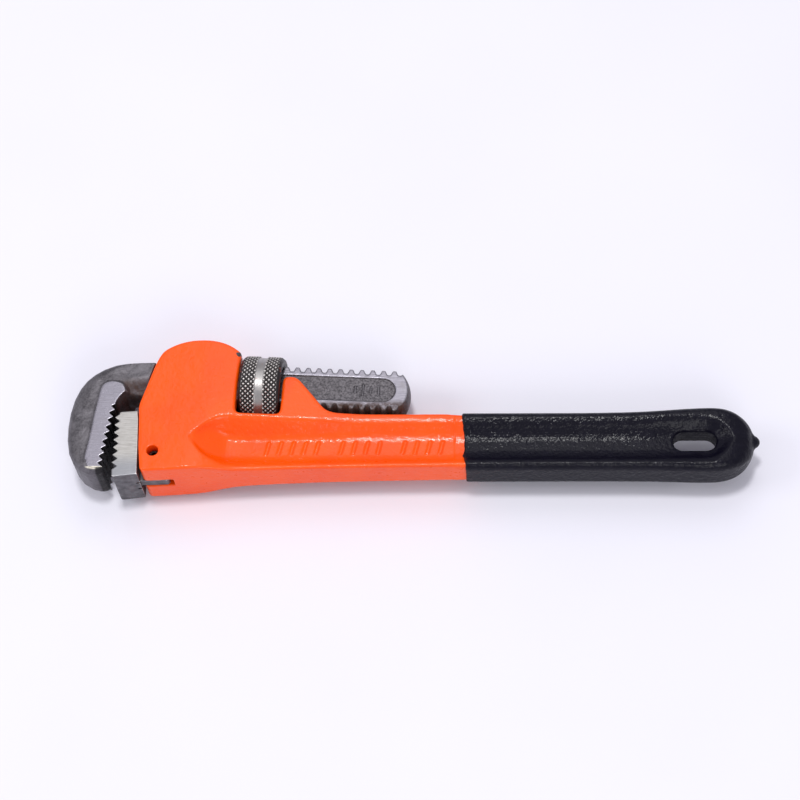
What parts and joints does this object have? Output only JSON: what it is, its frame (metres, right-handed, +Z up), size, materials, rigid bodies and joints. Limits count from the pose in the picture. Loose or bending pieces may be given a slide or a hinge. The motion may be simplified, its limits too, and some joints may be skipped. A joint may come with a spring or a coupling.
{
  "type": "pipe wrench",
  "caption": "Adjustable pipe wrench with painted cast handle, toothed hook jaw on a threaded shank, knurled nut, toothed heel jaw and dipped vinyl grip.",
  "frame": {"origin": "centre of the bounding box in plan, at its lowest level, with the wrench lying flat on its side", "axes": "+X along the handle from the jaws to the grip end, +Y across the handle towards the side the nut and shank stand on, +Z up, out of the housing's flat side"},
  "size_m": [0.2284, 0.0512, 0.0239],
  "materials": {
    "handle_paint": "glossy enamel on a cast surface",
    "forged_steel": "forged, oiled",
    "nut_steel": "knurled",
    "heel_steel": "ground",
    "pin_steel": "dark spring steel",
    "spring_steel": "blued",
    "coil_steel": "bright",
    "rivet_steel": "bright",
    "grip_vinyl": "dipped vinyl, fine pebbled sheen"
  },
  "bodies": {
    "frame": {"handle": "handle_paint", "heel_jaw": "heel_steel", "heel_jaw_pin": "pin_steel", "coil_spring": "coil_steel", "spring_rivet": "rivet_steel", "grip_sleeve": "grip_vinyl"},
    "rocker": {"flat_spring": "spring_steel"},
    "jaw": {"hook_jaw": "forged_steel"},
    "nut": {"adjusting_nut": "nut_steel"}
  },
  "joints": [
    {"name": "jaw_rock", "type": "hinge", "parent": "frame", "child": "rocker", "pos_m": [-0.0501, 0.0104, 0.01195], "axis": [0, 0, 1], "range_deg": [0, 1.5], "stiffness_Nm_per_rad": 4, "springref_deg": -4.98, "deforming": ["flat_spring", "coil_spring"]},
    {"name": "nut_spin", "type": "hinge", "parent": "rocker", "child": "nut", "pos_m": [-0.0501, 0.0104, 0.01195], "axis": [0.9984, -0.0558, 0], "range_deg": [-21, 2775]},
    {"name": "jaw_slide", "type": "slide", "parent": "rocker", "child": "jaw", "axis": [-0.9984, 0.0558, 0], "range_m": [-0.0002, 0.028]}
  ],
  "couplings": [
    {"joint": "nut_spin", "follows": "jaw_slide", "rad_per_m": 1724.3}
  ]
}
